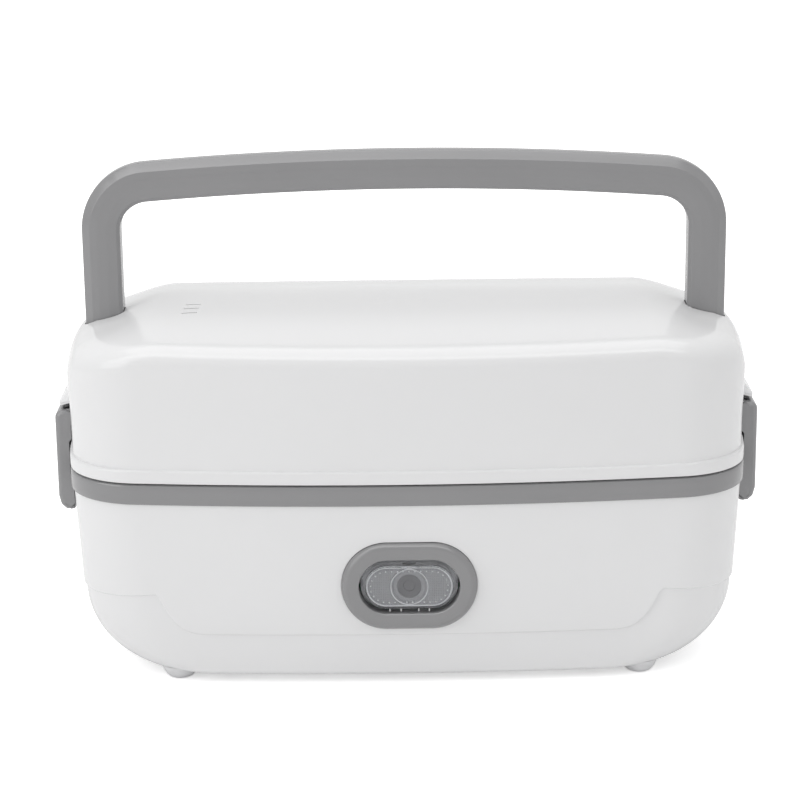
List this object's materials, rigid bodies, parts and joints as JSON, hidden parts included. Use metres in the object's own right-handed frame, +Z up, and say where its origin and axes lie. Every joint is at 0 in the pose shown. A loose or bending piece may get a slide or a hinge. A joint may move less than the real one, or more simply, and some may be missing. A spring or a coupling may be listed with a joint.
{
  "type": "electric lunch box",
  "caption": "Countertop electric lunch box: heated base with steel pot and upper dish under a lift-off lid with a push-down handle, end latches and a front push button.",
  "frame": {"origin": "on the surface the feet stand on, under the middle of the body", "axes": "+X along the long side, to the right seen from the button; +Y towards the power inlet at the back; +Z up"},
  "size_m": [0.2456, 0.116, 0.1758],
  "materials": {
    "white_plastic": "smooth semi-gloss white",
    "grey_plastic": "fine satin grey",
    "steel": "satin stainless steel",
    "screw_steel": "plain steel",
    "silicone": "soft translucent silicone",
    "foot_rubber": "soft pale rubber",
    "cast_aluminium": "machined",
    "black_plastic": "satin black",
    "fuse_ceramic": "unglazed",
    "clear_plastic": "clear, moulded",
    "inner_plastic": "plain moulded",
    "board_green": "lacquered board",
    "lamp_smoke": "tinted, unlit",
    "blade_metal": "plated",
    "wire_brown": "sheath",
    "wire_blue": "sheath",
    "wire_red": "sheath",
    "vessel_clear": "translucent",
    "vessel_white": "smooth"
  },
  "bodies": {
    "base": {"bottom_cover": "white_plastic", "base_shell": "white_plastic", "rim_ring": "grey_plastic", "feet": "foot_rubber", "base_screws": "screw_steel", "pan_gasket": "silicone", "water_pan": "steel", "heating_plate": "cast_aluminium", "ptc_heater": "cast_aluminium", "heater_clamp": "steel", "clamp_screws": "screw_steel", "thermostat": "black_plastic", "thermal_fuse": "fuse_ceramic", "button_bezel": "grey_plastic", "switch_board": "board_green", "tact_switch": "black_plastic", "lamp_reflector": "inner_plastic", "indicator_lamp": "lamp_smoke", "board_screws": "screw_steel", "power_inlet": "black_plastic", "inlet_blades": "blade_metal", "live_wire": "wire_brown", "neutral_wire": "wire_blue", "switch_wire": "wire_red", "food_pot": "steel", "pot_gasket": "silicone", "pot_lid": "vessel_clear", "upper_dish": "vessel_white", "dish_cover": "vessel_clear"},
    "lid": {"lid_shell": "white_plastic", "lid_liner": "inner_plastic", "liner_screws": "screw_steel", "lid_gasket": "silicone", "vent_insert": "inner_plastic", "handle_guide_left": "inner_plastic", "handle_guide_right": "inner_plastic", "guide_screws": "screw_steel", "latch_pin_left": "screw_steel", "latch_pin_right": "screw_steel"},
    "handle": {"handle": "grey_plastic", "handle_stops": "inner_plastic", "stop_screws": "screw_steel"},
    "latch_left": {"latch_left": "grey_plastic"},
    "latch_right": {"latch_right": "grey_plastic"},
    "button": {"button_cap": "clear_plastic", "button_carrier": "grey_plastic", "button_spring": "screw_steel", "switch_plunger": "inner_plastic"}
  },
  "joints": [
    {"name": "lid_lift", "type": "slide", "parent": "base", "child": "lid", "axis": [0, 0, 1], "range_m": [0, 0.12]},
    {"name": "handle_push", "type": "slide", "parent": "lid", "child": "handle", "axis": [0, 0, 1], "range_m": [-0.029, 0]},
    {"name": "latch_left_swing", "type": "hinge", "parent": "lid", "child": "latch_left", "pos_m": [-0.1186, 0, 0.085], "axis": [0, 1, 0], "range_deg": [0, 72]},
    {"name": "latch_right_swing", "type": "hinge", "parent": "lid", "child": "latch_right", "pos_m": [0.1186, 0, 0.085], "axis": [0, -1, 0], "range_deg": [0, 72]},
    {"name": "button_press", "type": "slide", "parent": "base", "child": "button", "axis": [0, 1, 0], "range_m": [0, 0.0016], "stiffness_N_per_m": 300, "springref_m": -0.002, "deforming": ["button_spring"]}
  ]
}
